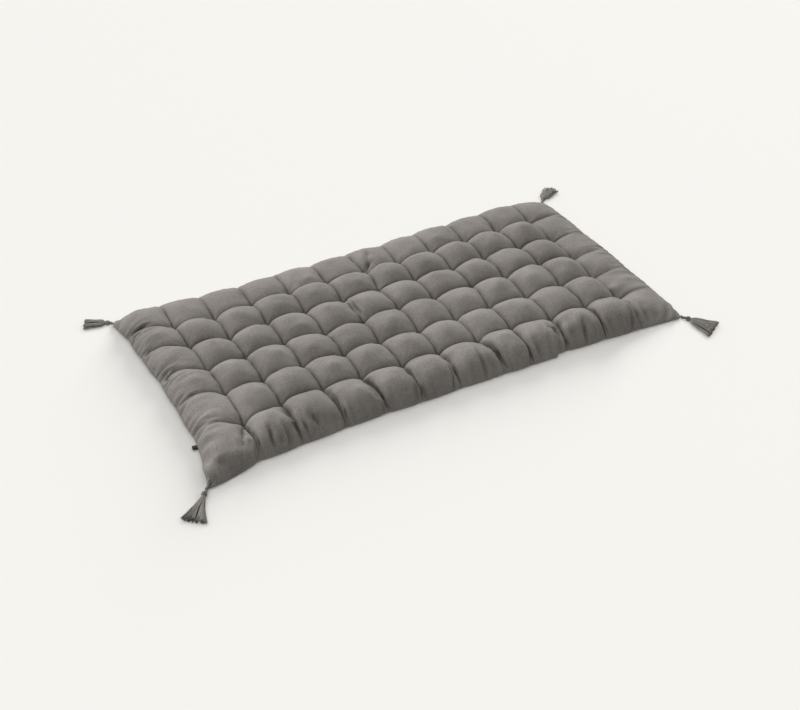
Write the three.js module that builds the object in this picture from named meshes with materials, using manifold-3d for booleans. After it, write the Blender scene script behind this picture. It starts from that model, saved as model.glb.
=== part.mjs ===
// A tufted floor mattress: one filled cushion of two sewn panels, tied down at a grid of tufts, with
// a thread tassel knotted into each corner and a small folded label caught in the left seam.
// Millimetres, +Z up. +X runs along the length, the front long side faces -Y, and the underside
// rests on z = 0. Plan positions are first measured from the middle tuft.
import * as THREE from "three";
import { mergeGeometries, mergeVertices } from "three/addons/utils/BufferGeometryUtils.js";
import Module from "manifold-3d";

const wasm = await Module();
wasm.setup();

// Driving dimensions
const TUFT = { columns: 11, rows: 5, pitchX: 98, pitchY: 96, wander: 4 };
const HEIGHT = { crown: 58, edgeCrown: 47, tuftTop: 31, tuftUnder: 9, seam: 11 };
const SEAM = { left: -597, right: 597, front: -306, back: 300 };
const PUFF = { stepsAcross: 6, roundness: 2.2, scallop: 2, cornerDrawIn: 1, edgeTurn: 1.7 };
const UNDERSIDE = { flatShare: 2 / 3, valleyShare: 0.35, edgeRoll: 0.6 };
const CLEARANCE = 0.3;

// How far the seam stands out from its straight line where each crease meets it: one value for each
// tuft column from left to right, or for each tuft row from front to back. Negative is drawn in.
const SEAM_STANDS_OUT = {
  front: [13, 8, 2, -1, 2, 0, 1, 2, -3, 0, 5],
  back: [10, 1, -7, -1, -5, -2, -6, 2, -1, 3, 4],
  left: [4, 0, -4, 1, 1],
  right: [4, 1, 5, -1, -1],
};

// Where the cover's corners are drawn out to a tip.
const CORNER_TIP = {
  front_left: { x: -633, y: -337 },
  front_right: { x: 588, y: -325 },
  back_left: { x: -604, y: 303 },
  back_right: { x: 590, y: 288 },
};

// How the tassel lies at each corner: headings of its cord and its skirt in degrees from +X, cord
// length up to the knot, skirt length, the skirt's width where the threads end, and its flare: below 1
// the skirt widens close to the knot, at 1 it widens evenly.
const TASSELS = [
  { corner: "front_left", cordHeading: -131, heading: -125, cord: 14, skirt: 74, fan: 60, flare: 1.2 },
  { corner: "front_right", cordHeading: -50, heading: -61, cord: 9, skirt: 61, fan: 70, flare: 0.9 },
  { corner: "back_left", cordHeading: 150, heading: 161, cord: 8, skirt: 49, fan: 42, flare: 0.4 },
  { corner: "back_right", cordHeading: 45, heading: 33, cord: 6, skirt: 44, fan: 46, flare: 0.5 },
];

const TASSEL = { cordRadius: 2.6, knotLength: 12, knotRadius: 6.4, rootRadius: 6, sides: 12 };
const SKIRT = { locks: 36, lockRadius: 0.115, sides: 3, steps: 3, halfHeight: 8, trimSpread: 3 };
const LABEL = { y: -213, width: 11, reach: 10, ribbon: 1, foldGap: 0.8 };

const COTTON = { color: 0x7d7973, roughness: 0.95, metalness: 0 };
const THREAD = { color: 0x6f6c66, roughness: 0.9, metalness: 0 };
const LABEL_RIBBON = { color: 0x161616, roughness: 0.8, metalness: 0 };

const PUFFS_X = TUFT.columns + 1;
const PUFFS_Y = TUFT.rows + 1;
const GOLDEN_ANGLE = Math.PI * (3 - Math.sqrt(5));

// A steady, uneven value from -1 to 1 for a place in a row or grid, so that like pieces differ a little.
function uneven(i, j, kind) {
  return Math.sin(2.39 * i + 4.71 * j + 1.83 * kind + 0.9 * i * j);
}

// Positions of the cushion's net

// Where crease column i and crease row j cross: a tuft, or a point of the seam on the outermost ones.
function creaseCrossing(i, j) {
  const x = (i - PUFFS_X / 2) * TUFT.pitchX;
  const y = (j - PUFFS_Y / 2) * TUFT.pitchY;
  const onLeft = i === 0;
  const onRight = i === PUFFS_X;
  const onFront = j === 0;
  const onBack = j === PUFFS_Y;
  if ((onLeft || onRight) && (onFront || onBack)) {
    return CORNER_TIP[(onFront ? "front" : "back") + (onLeft ? "_left" : "_right")];
  }
  if (onLeft) return { x: SEAM.left - SEAM_STANDS_OUT.left[j - 1], y };
  if (onRight) return { x: SEAM.right + SEAM_STANDS_OUT.right[j - 1], y };
  if (onFront) return { x, y: SEAM.front - SEAM_STANDS_OUT.front[i - 1] };
  if (onBack) return { x, y: SEAM.back + SEAM_STANDS_OUT.back[i - 1] };
  return { x: x + TUFT.wander * uneven(i, j, 0), y: y + TUFT.wander * uneven(i, j, 1) };
}

// Sample places across a row of puffs, in puffs from the first seam, closer together beside the seams.
function samplePlaces(puffs) {
  const last = puffs * PUFF.stepsAcross;
  const fromSeam = (share) => 1 - Math.cos((share * Math.PI) / 2);
  return Array.from({ length: last + 1 }, (_, step) => {
    const even = step / PUFF.stepsAcross;
    if (even < 1) return fromSeam(even);
    if (even > puffs - 1) return puffs - fromSeam(puffs - even);
    return even;
  });
}

// One place of the net along one direction: its puff, the share across that puff, how near it is to a
// crease (0 on the crown line, 1 on the crease), how many puffs it is in from the seam, and how far it
// is up the turned edge (0 on the seam, 1 on the crown line).
function along(place, puffs) {
  const puff = Math.min(Math.floor(place), puffs - 1);
  const share = place - puff;
  const inside = Math.min(place, puffs - place);
  const fromSeam = Math.min(1, 2 * inside);
  const crease = fromSeam < 1 ? 0 : Math.abs(2 * share - 1);
  return { puff, share, inside, crease, fromSeam, bulge: 1 - (2 * share - 1) ** 2 };
}

// Plan position of a place of the net, with the seam bowed a little out at each puff and drawn in
// beside the corner tips.
function planPoint(acrossX, acrossY) {
  const { puff: i, share: s } = acrossX;
  const { puff: j, share: t } = acrossY;
  const frontLeft = creaseCrossing(i, j);
  const frontRight = creaseCrossing(i + 1, j);
  const backLeft = creaseCrossing(i, j + 1);
  const backRight = creaseCrossing(i + 1, j + 1);
  const mixed = (key) => {
    const front = THREE.MathUtils.lerp(frontLeft[key], frontRight[key], s);
    const back = THREE.MathUtils.lerp(backLeft[key], backRight[key], s);
    return THREE.MathUtils.lerp(front, back, t);
  };
  const endPuff = (puff, puffs) => puff === 0 || puff === puffs - 1;
  const bowX = endPuff(j, PUFFS_Y) ? -PUFF.cornerDrawIn : PUFF.scallop;
  const bowY = endPuff(i, PUFFS_X) ? -PUFF.cornerDrawIn : PUFF.scallop;
  const outX = (1 - acrossX.fromSeam) * Math.sign(i - PUFFS_X / 2 + 0.5);
  const outY = (1 - acrossY.fromSeam) * Math.sign(j - PUFFS_Y / 2 + 0.5);
  return {
    x: mixed("x") + outX * bowX * acrossY.bulge,
    y: mixed("y") + outY * bowY * acrossX.bulge,
  };
}

// Height of the top panel: round puffs between the tufts, lower and shallower beside the seam, and
// turned down to the seam all round.
function topHeight(acrossX, acrossY) {
  const inside = Math.min(acrossX.inside, acrossY.inside);
  const crown = THREE.MathUtils.lerp(
    HEIGHT.edgeCrown,
    HEIGHT.crown,
    THREE.MathUtils.smoothstep(inside, 0.5, 1.5),
  );
  const drop = (across, other) => across.crease ** PUFF.roundness * Math.min(1, 0.2 + 0.8 * other.inside);
  const valley = 0.5 * (drop(acrossX, acrossY) + drop(acrossY, acrossX));
  const fullness = 1 + 0.04 * uneven(acrossX.puff, acrossY.puff, 2);
  const puffed = HEIGHT.tuftTop + (crown - HEIGHT.tuftTop) * (1 - valley) * fullness;
  const turned = (fromSeam) => 1 - (1 - fromSeam) ** PUFF.edgeTurn;
  return HEIGHT.seam + (puffed - HEIGHT.seam) * turned(acrossX.fromSeam) * turned(acrossY.fromSeam);
}

// Height of the bottom panel: pressed flat on the floor in each puff, lifted at the creases and tufts.
function underHeight(acrossX, acrossY) {
  const lift = (crease) => Math.max(0, (crease - UNDERSIDE.flatShare) / (1 - UNDERSIDE.flatShare));
  const liftX = lift(acrossX.crease);
  const liftY = lift(acrossY.crease);
  const lifted = THREE.MathUtils.lerp(liftX * liftY, Math.max(liftX, liftY), UNDERSIDE.valleyShare);
  const creased = HEIGHT.tuftUnder * lifted;
  const rolled = (fromSeam) => {
    const share = Math.min(1, fromSeam / UNDERSIDE.edgeRoll);
    return Math.sqrt(1 - (1 - share) ** 2);
  };
  return HEIGHT.seam + (creased - HEIGHT.seam) * rolled(acrossX.fromSeam) * rolled(acrossY.fromSeam);
}

// The pieces

function turnInsideOut(geometry) {
  const corners = geometry.index.array;
  for (let n = 0; n < corners.length; n += 3) {
    [corners[n], corners[n + 1]] = [corners[n + 1], corners[n]];
  }
}

function bare(geometry) {
  geometry.deleteAttribute("normal");
  geometry.deleteAttribute("uv");
  return geometry;
}

// Splits each square of a net along the diagonal that points at the nearer corner of the cushion, so
// that the corner's tip is part of a face that rises from the seam.
function splitTowardsCorners(net, columns, rows) {
  const corners = net.index.array;
  for (let square = 0; square < columns * rows; square += 1) {
    const inLeftHalf = square % columns < columns / 2;
    const inBackHalf = square < (columns * rows) / 2;
    if (inLeftHalf === inBackHalf) {
      const [a, b, d, , c] = corners.slice(6 * square, 6 * square + 6);
      corners.set([a, b, c, a, c, d], 6 * square);
    }
  }
}

// One panel of the cover, as a net of puffs at the height that the given function returns.
function panel(heightOf) {
  const placesX = samplePlaces(PUFFS_X);
  const placesY = samplePlaces(PUFFS_Y);
  const net = new THREE.PlaneGeometry(1, 1, placesX.length - 1, placesY.length - 1);
  const position = net.attributes.position;
  for (let n = 0; n < position.count; n += 1) {
    const acrossX = along(placesX[n % placesX.length], PUFFS_X);
    const acrossY = along(placesY[placesY.length - 1 - Math.floor(n / placesX.length)], PUFFS_Y);
    const plan = planPoint(acrossX, acrossY);
    position.setXYZ(n, plan.x, plan.y, heightOf(acrossX, acrossY));
  }
  splitTowardsCorners(net, placesX.length - 1, placesY.length - 1);
  return bare(net);
}

// The filled cushion: both panels, joined along the seam.
function cushionGeometry() {
  const top = panel(topHeight);
  const under = panel(underHeight);
  turnInsideOut(under);
  const cushion = mergeVertices(mergeGeometries([top, under]));
  cushion.computeVertexNormals();
  return cushion;
}

function toSolid(geometry) {
  const merged = mergeVertices(bare(geometry));
  return new wasm.Manifold(
    new wasm.Mesh({
      numProp: 3,
      vertProperties: merged.attributes.position.array,
      triVerts: new Uint32Array(merged.index.array),
    }),
  );
}

function toGeometry(solid) {
  const mesh = solid.getMesh();
  const geometry = new THREE.BufferGeometry();
  geometry.setAttribute("position", new THREE.BufferAttribute(mesh.vertProperties, 3));
  geometry.setIndex(new THREE.BufferAttribute(mesh.triVerts, 1));
  geometry.computeVertexNormals();
  return geometry;
}

// Centre line of a tassel in its own frame: from the corner's tip along +X, down to lie on the floor,
// turning from the cord's heading to the skirt's heading at the knot.
function tasselLine(tassel) {
  const knotAt = tassel.cord + TASSEL.knotLength / 2;
  const turn = THREE.MathUtils.degToRad(tassel.heading - tassel.cordHeading);
  const aside = (x) => Math.max(0, x - knotAt) * Math.tan(turn) * 0.9;
  return (x) => {
    const settled = THREE.MathUtils.smoothstep(x, 0, tassel.cord);
    return { y: aside(x), z: THREE.MathUtils.lerp(HEIGHT.seam, TASSEL.knotRadius, settled) };
  };
}

// Cord, knot and waist of a tassel: a turned profile laid along the tassel's line.
function tasselHead(tassel, line) {
  const knotEnd = tassel.cord + TASSEL.knotLength;
  const profile = [
    { x: CLEARANCE, radius: 0 },
    { x: CLEARANCE, radius: TASSEL.cordRadius },
    { x: tassel.cord, radius: TASSEL.cordRadius },
    { x: tassel.cord + 0.2 * TASSEL.knotLength, radius: 0.8 * TASSEL.knotRadius },
    { x: tassel.cord + 0.5 * TASSEL.knotLength, radius: TASSEL.knotRadius },
    { x: tassel.cord + 0.8 * TASSEL.knotLength, radius: 0.85 * TASSEL.knotRadius },
    { x: knotEnd, radius: 0.7 * TASSEL.rootRadius },
    { x: knotEnd + 6, radius: TASSEL.rootRadius },
    { x: knotEnd + 9, radius: 0 },
  ];
  const head = new THREE.LatheGeometry(
    profile.map((ring) => new THREE.Vector2(ring.radius, ring.x)),
    TASSEL.sides,
  );
  const position = head.attributes.position;
  for (let n = 0; n < position.count; n += 1) {
    const x = position.getY(n);
    const middle = line(x);
    position.setXYZ(n, x, middle.y + position.getX(n), middle.z - position.getZ(n));
  }
  return head;
}

// One lock of skirt threads, from inside the waist to its cut end. All locks share one widening and
// flattening section, so they spread like a fan and never cross, and the lowest rest on the floor.
function skirtLock(tassel, line, number) {
  const start = tassel.cord + TASSEL.knotLength + 2;
  const reach = tassel.skirt - SKIRT.trimSpread * (1 + uneven(number, 0, 3)) * 0.5;
  const outward = (1 - SKIRT.lockRadius) * Math.sqrt((number + 0.5) / SKIRT.locks);
  const angle = number * GOLDEN_ANGLE;
  const lock = new THREE.CylinderGeometry(1, 1, 1, SKIRT.sides, SKIRT.steps);
  const position = lock.attributes.position;
  for (let n = 0; n < position.count; n += 1) {
    const share = position.getY(n) + 0.5;
    const across = outward * Math.cos(angle) + SKIRT.lockRadius * position.getX(n);
    const up = outward * Math.sin(angle) - SKIRT.lockRadius * position.getZ(n);
    const x = start + share * reach;
    const spread = share ** tassel.flare;
    const halfWidth = THREE.MathUtils.lerp(0.75 * TASSEL.rootRadius, tassel.fan / 2, spread);
    const halfHeight = THREE.MathUtils.lerp(0.75 * TASSEL.rootRadius, SKIRT.halfHeight, spread);
    const middleZ = THREE.MathUtils.lerp(TASSEL.knotRadius, SKIRT.halfHeight, spread);
    position.setXYZ(n, x, line(x).y + halfWidth * across, middleZ + halfHeight * up);
  }
  return lock;
}

function tasselGeometry(tassel) {
  const line = tasselLine(tassel);
  let solid = toSolid(tasselHead(tassel, line));
  for (let number = 0; number < SKIRT.locks; number += 1) {
    solid = solid.add(toSolid(skirtLock(tassel, line, number)));
  }
  return toGeometry(solid);
}

// The label: a ribbon folded in two, its cut ends at the seam and its fold outwards along -X.
function labelGeometry() {
  const halfGap = LABEL.foldGap / 2;
  const half = halfGap + LABEL.ribbon;
  const outline = new THREE.Shape();
  outline.moveTo(0, half);
  outline.lineTo(-LABEL.reach + half, half);
  outline.absarc(-LABEL.reach + half, 0, half, Math.PI / 2, (3 * Math.PI) / 2, false);
  outline.lineTo(0, -half);
  outline.lineTo(0, -halfGap);
  outline.lineTo(-LABEL.reach + half, -halfGap);
  outline.absarc(-LABEL.reach + half, 0, halfGap, (3 * Math.PI) / 2, Math.PI / 2, true);
  outline.lineTo(0, halfGap);
  outline.closePath();
  const woven = { depth: LABEL.width, bevelEnabled: false, curveSegments: 6 };
  const ribbon = new THREE.ExtrudeGeometry(outline, woven);
  ribbon.translate(0, 0, -LABEL.width / 2);
  ribbon.rotateX(Math.PI / 2);
  return ribbon;
}

// Assembly

const floorMattress = new THREE.Group();

const cushion = new THREE.Mesh(cushionGeometry(), new THREE.MeshStandardMaterial(COTTON));
cushion.name = "cushion";
floorMattress.add(cushion);

for (const lie of TASSELS) {
  const tip = CORNER_TIP[lie.corner];
  const tassel = new THREE.Mesh(tasselGeometry(lie), new THREE.MeshStandardMaterial(THREAD));
  tassel.name = `tassel_${lie.corner}`;
  tassel.position.set(tip.x, tip.y, 0);
  tassel.rotation.z = THREE.MathUtils.degToRad(lie.cordHeading);
  floorMattress.add(tassel);
}

// The label stands out of the left seam, between the front left corner and the first crease.
const seamAbove = creaseCrossing(0, 1);
const seamBelow = creaseCrossing(0, 0);
const labelShare = (LABEL.y - seamAbove.y) / (seamBelow.y - seamAbove.y);
const label = new THREE.Mesh(labelGeometry(), new THREE.MeshStandardMaterial(LABEL_RIBBON));
label.name = "label";
label.position.set(
  THREE.MathUtils.lerp(seamAbove.x, seamBelow.x, labelShare) - CLEARANCE,
  LABEL.y,
  HEIGHT.seam,
);
label.rotation.z = Math.atan2(seamAbove.x - seamBelow.x, seamBelow.y - seamAbove.y) + Math.PI;
floorMattress.add(label);

// The origin is on the floor, under the middle of the whole footprint.
const middle = new THREE.Box3().setFromObject(floorMattress, true).getCenter(new THREE.Vector3());
floorMattress.position.set(-middle.x, -middle.y, 0);

export default floorMattress;
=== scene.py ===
import math
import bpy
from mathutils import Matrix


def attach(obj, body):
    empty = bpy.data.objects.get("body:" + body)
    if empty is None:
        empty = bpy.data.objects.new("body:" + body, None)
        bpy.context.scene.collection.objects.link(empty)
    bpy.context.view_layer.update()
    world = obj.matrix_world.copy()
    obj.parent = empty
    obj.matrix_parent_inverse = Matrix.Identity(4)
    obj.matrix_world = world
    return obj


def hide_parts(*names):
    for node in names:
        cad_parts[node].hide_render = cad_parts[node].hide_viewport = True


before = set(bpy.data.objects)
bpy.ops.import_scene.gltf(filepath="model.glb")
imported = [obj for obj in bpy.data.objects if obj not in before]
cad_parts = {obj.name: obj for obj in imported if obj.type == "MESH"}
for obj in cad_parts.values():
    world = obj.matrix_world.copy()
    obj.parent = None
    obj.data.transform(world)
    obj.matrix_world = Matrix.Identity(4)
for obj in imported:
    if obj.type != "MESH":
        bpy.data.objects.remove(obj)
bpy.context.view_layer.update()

from types import SimpleNamespace

import bmesh
import bpy
import numpy as np
from mathutils import Matrix, Vector


# Camera
# Looks down on the mattress from in front of its front left corner, from about three and a half metres,
# with a long lens, so that the far corner is only a little smaller than the near one.
CAMERA_AZIMUTH = math.radians(-28.486)
CAMERA_ELEVATION = math.radians(36.645)
CAMERA_DISTANCE = 3.5105
CAMERA_TARGET = Vector((-0.05352, -0.10832, 0.031))
CAMERA_LENS = 69.365
SENSOR_WIDTH = 36.0

camera = bpy.data.objects.new("camera", bpy.data.cameras.new("camera"))
camera.data.lens = CAMERA_LENS
camera.data.sensor_width = SENSOR_WIDTH
camera.location = CAMERA_TARGET + CAMERA_DISTANCE * Vector((
    math.sin(CAMERA_AZIMUTH) * math.cos(CAMERA_ELEVATION),
    -math.cos(CAMERA_AZIMUTH) * math.cos(CAMERA_ELEVATION),
    math.sin(CAMERA_ELEVATION),
))
camera.rotation_euler = (math.pi / 2 - CAMERA_ELEVATION, 0.0, CAMERA_AZIMUTH)
bpy.context.scene.collection.objects.link(camera)
bpy.context.scene.camera = camera


# Floor and light
# A plain warm white studio floor under an even white sky. A broad lamp behind the back side, with weak ones
# overhead and at the left end, lights the mattress. The floor has its own: a broad one overhead, and a low
# one to the right that leaves a wide, weak shade. The floor throws no light back.
FLOOR_SIDE = 14.0
FLOOR_COLOUR = (0.905, 0.897, 0.862, 1.0)
SKY_COLOUR = (1.0, 0.995, 0.985, 1.0)
SKY_STRENGTH = 0.35
LAMPS = {
    "back_lamp": {"strength": 2.3, "breadth": 60.0, "azimuth": 0.0, "elevation": 34.0, "floor": "EXCLUDE"},
    "top_lamp": {"strength": 0.25, "breadth": 60.0, "azimuth": 0.0, "elevation": 88.0, "floor": "EXCLUDE"},
    "left_lamp": {"strength": 0.6, "breadth": 60.0, "azimuth": -75.0, "elevation": 30.0, "floor": "EXCLUDE"},
    "floor_fill": {"strength": 1.20, "breadth": 110.0, "azimuth": 0.0, "elevation": 90.0, "floor": "INCLUDE"},
    "floor_lamp": {"strength": 2.95, "breadth": 26.0, "azimuth": 50.0, "elevation": 17.0, "floor": "INCLUDE"},
}


def new_finish(name, roughness):
    """A node material and its main shader."""
    finish = bpy.data.materials.new(name)
    finish.use_nodes = True
    shader = finish.node_tree.nodes["Principled BSDF"]
    shader.inputs["Roughness"].default_value = roughness
    return finish, shader


def add_node(finish, kind, settings=None, inputs=None):
    """Adds a node, with settings by name and inputs by socket: a number, a colour or another socket."""
    node = finish.node_tree.nodes.new(kind)
    for key, value in (settings or {}).items():
        setattr(node, key, value)
    for key, value in (inputs or {}).items():
        if isinstance(value, bpy.types.NodeSocket):
            finish.node_tree.links.new(value, node.inputs[key])
        else:
            node.inputs[key].default_value = value
    return node


def new_piece(name, mesh, finish):
    """An object of the given mesh in the scene, smooth shaded, in one finish."""
    piece = bpy.data.objects.new(name, mesh)
    bpy.context.scene.collection.objects.link(piece)
    mesh.materials.clear()
    mesh.materials.append(finish)
    mesh.polygons.foreach_set("use_smooth", [True] * len(mesh.polygons))
    return piece


floor_paint, floor_shader = new_finish("studio_floor", 0.9)
floor_shader.inputs["Base Color"].default_value = FLOOR_COLOUR
floor_shader.inputs["Specular IOR Level"].default_value = 0.1
floor_net = bmesh.new()
bmesh.ops.create_grid(floor_net, x_segments=1, y_segments=1, size=FLOOR_SIDE / 2)
floor_mesh = bpy.data.meshes.new("floor")
floor_net.to_mesh(floor_mesh)
floor_net.free()
floor = new_piece("floor", floor_mesh, floor_paint)
floor.visible_diffuse = False

sky = bpy.data.worlds.new("studio_sky")
sky.use_nodes = True
sky.node_tree.nodes["Background"].inputs["Color"].default_value = SKY_COLOUR
sky.node_tree.nodes["Background"].inputs["Strength"].default_value = SKY_STRENGTH
bpy.context.scene.world = sky

for name, light in LAMPS.items():
    lamp = bpy.data.objects.new(name, bpy.data.lights.new(name, "SUN"))
    lamp.data.energy = light["strength"]
    lamp.data.angle = math.radians(light["breadth"])
    tilt = math.radians(90.0 - light["elevation"])
    lamp.rotation_euler = (tilt, 0.0, math.radians(180.0 - light["azimuth"]))
    bpy.context.scene.collection.objects.link(lamp)
    lamp.light_linking.receiver_collection = bpy.data.collections.new(name + "_reach")
    lamp.light_linking.receiver_collection.objects.link(floor)
    lamp.light_linking.receiver_collection.collection_objects[0].light_linking.link_state = light["floor"]
bpy.context.scene.view_settings.view_transform = "Standard"


# Cover and filling
# Two rectangles of washed cotton sewn together all round, turned and stuffed with loose fibre. Fifty-five
# ties through the filling draw the panels together, so the cloth stands up in puffs with sharp creases
# between the ties, and the cloth left over along the edge gathers in folds at the seam.

# Sizes are in millimetres. How far something reaches in from the seam is counted in puffs.
MM = 0.001
SAME_PLACE = 1e-6

# The ties and the seam line in plan, from the middle tie. The seam stands out from its straight line by one
# value for each crease that meets it, and bulges between them by one for each puff. On the left end and the
# front side the creases veer along the seam before they meet it.
MIDDLE_TIE = (26.9508, 46.4889)
PUFFS_LONG = 12
PUFFS_WIDE = 6
PITCH_LONG = 98.0
PITCH_WIDE = 96.0
TIE_WANDER = 3.0
TIES_ASTRAY = {
    (1, 1): (-4, -20), (3, 1): (4, 8), (9, 1): (4, -8), (10, 1): (4, -7), (3, 2): (0, 10),
    (3, 3): (0, 9), (6, 3): (4, 8), (8, 3): (7, 5), (10, 3): (8, 9), (1, 4): (1, 9),
    (2, 4): (-5, -10), (8, 4): (2, -8), (2, 5): (-2, -11), (6, 5): (7, -8), (7, 5): (-1, -9),
}
SEAM_LINE = {"left": -593, "right": 601, "front": -299, "back": 303}
SEAM_STANDS_OUT = {
    "front": [13, 8, 2, -1, 2, 0, 1, 2, -3, 0, 5],
    "back": [10, 1, -7, -1, -5, -2, -6, 2, -1, 3, 4],
    "left": [4, 0, -4, 1, 1],
    "right": [4, 1, 5, -1, -1],
}
SEAM_SCALLOPS = {
    "front": np.array([6, 3, 2, 2, 2, 2, 2, 2, 2, 2, 2, 1]),
    "back": np.full(12, 1.5),
    "left": np.array([-4, 3, 3, 3, 3, 2]),
    "right": np.array([2, 2, 2, 2, 2, 2]),
}
SCALLOP_REACH = 0.4
CREASE_VEERS = {"left": [16, 30, 38, 48, 34], "front": [-12, -5, 5, 12, -4, 0, 25, -15, -8, -2, -12]}
CORNER_TIP = {
    "front_left": (-637, -344), "front_right": (599, -313),
    "back_left": (-606, 313), "back_right": (594, 295),
}

# The front seam steps back where a pinch of cloth is caught in it.
SEAM_STEP = 4.5
SEAM_STEP_AT = 257.0
SEAM_STEP_WIDTH = 4.0
SEAM_STEP_FADES = 45.0
SEAM_STEP_RISES = 2.5

# Heights above the floor, and the form of the puffs.
SEAM_HEIGHT = 5.0
CROWN = 63.5
EDGE_CROWN = {"front": 62.0, "back": 43.0, "left": 50.0, "right": 32.0}
EDGE_TURN = {"front": 2.4, "back": 1.7, "left": 1.6, "right": 1.1}
PUFFS_VARY = 0.04
PUFF_ROUNDNESS = 2.0
PUFF_LEAN = 0.33
CREASE_TOP = 31.0
CREASE_RISE = 12.0
CREASE_SLANT = math.radians(35.0)
PIT_DEPTH = 8.0
PIT_REACH = 10.0
TIE_UNDER = 9.0
UNDER_ROLL = 0.15

# How long the corners taper, and how plump they stay, front then back, left then right.
CORNER_TAPER = [[0.35, 1.3], [0.8, 0.9]]
CORNER_PLUMP = [[1.8, 0.0], [0.0, 0.0]]
CORNER_RIDGE = 4.0

# How strongly the creases carry on from the outermost ties to the seam: rows from the front, columns from
# the left. The strong ones are sharp, and the columns cut into the front edge.
END_CREASES = {"left": np.array([0.3, 0.45, 0.75, 0.8, 0.85]), "right": np.array([0.1, 0.2, 0.3, 0.3, 0.4])}
SIDE_CREASES = {"front": np.array([0.85, 1, 1, 1, 1, 1, 1, 1, 1, 0.8, 0.4]), "back": np.full(11, 0.8)}
CREASE_FADES_AT = 0.25
SHARP_CREASE = 0.6
CREASE_CUT = 8.0
CREASE_CUT_WIDTH = 5.0

# Unevenness of the filling, puckers round the ties, and gathers along the seam.
LUMP_HEIGHT = 1.6
LUMP_WAVES = 24
SHORTEST_LUMP = 30.0
LUMP_RANGE = 60.0
PUCKER_HEIGHT = 0.4
PUCKER_FROM_TIE = 20.0
PUCKER_REACH = 9.0
GATHER_HEIGHT = {"front": 2.4, "back": 0.4, "left": 1.1, "right": 0.5}
GATHER_WAVES = 5
SHORTEST_GATHER = 11.0
GATHER_RANGE = 18.0
GATHER_REACH = 0.42

# Folds that the stitching and the ties leave in the cloth: from, to, depth and half width. The cloth's net is
# closer at those that start further out than the last two values here.
FOLDS = [
    ((-526, -278), (-504, -233), 7, 3), ((-494, -300), (-492, -262), 6, 3),
    ((-462, -303), (-461, -281), 7, 3), ((-448, -304), (-441, -294), 5, 4),
    ((-429, -306), (-429, -293), 7, 4), ((-351, -296), (-357, -280), 8, 4),
    ((-374, -304), (-366, -297), 7, 4), ((-489, -308), (-488, -300), 5, 4),
    ((-378, -296), (-378, -285), 4, 4), ((-284, -297), (-281, -279), 8, 4),
    ((-204, -271), (-209, -250), 5, 3), ((-196, -297), (-196, -288), 5, 4),
    ((-94, -296), (-94, -284), 7, 4), ((-24, -300), (-20, -280), 7, 4),
    ((48, -300), (46, -282), 5, 4), ((187, -297), (188, -284), 5, 3),
    ((209, -297), (214, -284), 4, 4), ((253, -290), (257, -247), 14, 3),
    ((251, -301), (261, -280), 12, 4), ((338, -296), (340, -281), 8, 3),
    ((397, -295), (399, -284), 5, 3),
    ((-576, 225), (-555, 219), 7, 4), ((-591, 200), (-576, 207), 9, 4),
    ((-578, 132), (-567, 138), 4, 4), ((-589, 87), (-581, 97), 4, 4),
    ((-574, 21), (-555, 29), 11, 4), ((-586, 19), (-571, 40), 5, 3),
    ((-586, -28), (-578, -17), 3, 4),
    ((-91, 28), (-92, 88), 4, 3), ((-82, 34), (-84, 76), 3, 3),
    ((41, 244), (26, 206), 6, 4), ((26, 206), (13, 193), 6, 4),
]
FOLD_RUNS_OUT = 0.25
FOLDS_AT_SIDES = 290
FOLDS_AT_ENDS = 580

# The net in which the cloth is worked out, its spare cloth, and how it settles.
STEPS_A_PUFF = 26
CREASE_CLOSENESS = 0.4
FOLD_CLOSENESS = 1.2
FOLD_BREADTH = 9.0
INNER_SLACK = 0.004
BORDER_SLACK = 0.03
SEAM_SLACK = {"front": 0.12, "back": 0.03, "left": 0.05, "right": 0.04}
SEAM_SLACK_REACH = 0.85
UNDER_SLACK = 0.3
CLOTH_SKEW = 0.35
CLOTH_BEND = 0.15
SETTLING_STEPS = 70
PASSES_A_STEP = 3
FILLING_PUSH = 0.03
SWING_KEPT = 0.92
FIRST_RIPPLE = 0.5
CREASE_HOLD = 0.12
FOLD_HOLD = 0.10
FOLDS_HELD_FROM = 2.0
FOLDS_HELD_RANGE = 3.0
HELD_WAYS = np.array([0.0, 0.5, 1.0])
SEAM_GIVE = 0.3
CREASE_GAP = 0.5
TOP_CLEARS_FLOOR = 2.0

# After the cloth has settled, a share of the gathers and of the narrow core of each fold is pressed in once
# more, and the stitching draws the seam in.
GATHERS_PRESSED = 0.5
CORES_PRESSED = 0.55
CORE_NARROWNESS = 0.6
SEAM_DRAWN_IN = 1.6

# The flat cut of a panel in metres, and the painted shade at a tie, in the creases and in the folds: how wide
# it spreads and how dark it gets.
FLAT_LENGTH = 1.36
FLAT_WIDTH = 0.74
TIE_SHADE = 4.5
COLUMN_SHADE_FALL = 15
ROW_SHADE_FALL = 20
FOLD_SHADE = 0.06
DARKEST_FOLD_SHADE = 0.5


def uneven(i, j, kind):
    """A steady, uneven value from -1 to 1 for a place in the grid."""
    return np.sin(2.39 * i + 4.71 * j + 1.83 * kind + 0.9 * i * j)


def pattern_places(puffs, pitch, fold_spots):
    """Places of the cloth's net across a row of puffs, closer together beside the creases and the folds."""
    fine_steps = 400
    fine = np.linspace(0, puffs, fine_steps * puffs + 1)
    closeness = 1 + CREASE_CLOSENESS * np.cos(2 * math.pi * fine)
    for spot in fold_spots:
        closeness += FOLD_CLOSENESS * np.exp(-((fine - puffs / 2) * pitch - spot) ** 2 / FOLD_BREADTH ** 2)
    counted = np.concatenate([[0], np.cumsum(0.5 * (closeness[1:] + closeness[:-1]))])
    marks = counted[::fine_steps]
    steps = [np.linspace(low, high, STEPS_A_PUFF, endpoint=False) for low, high in zip(marks, marks[1:])]
    places = np.interp(np.concatenate([*steps, marks[-1:]]), counted, fine)
    places[::STEPS_A_PUFF] = np.arange(puffs + 1)
    return places


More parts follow.
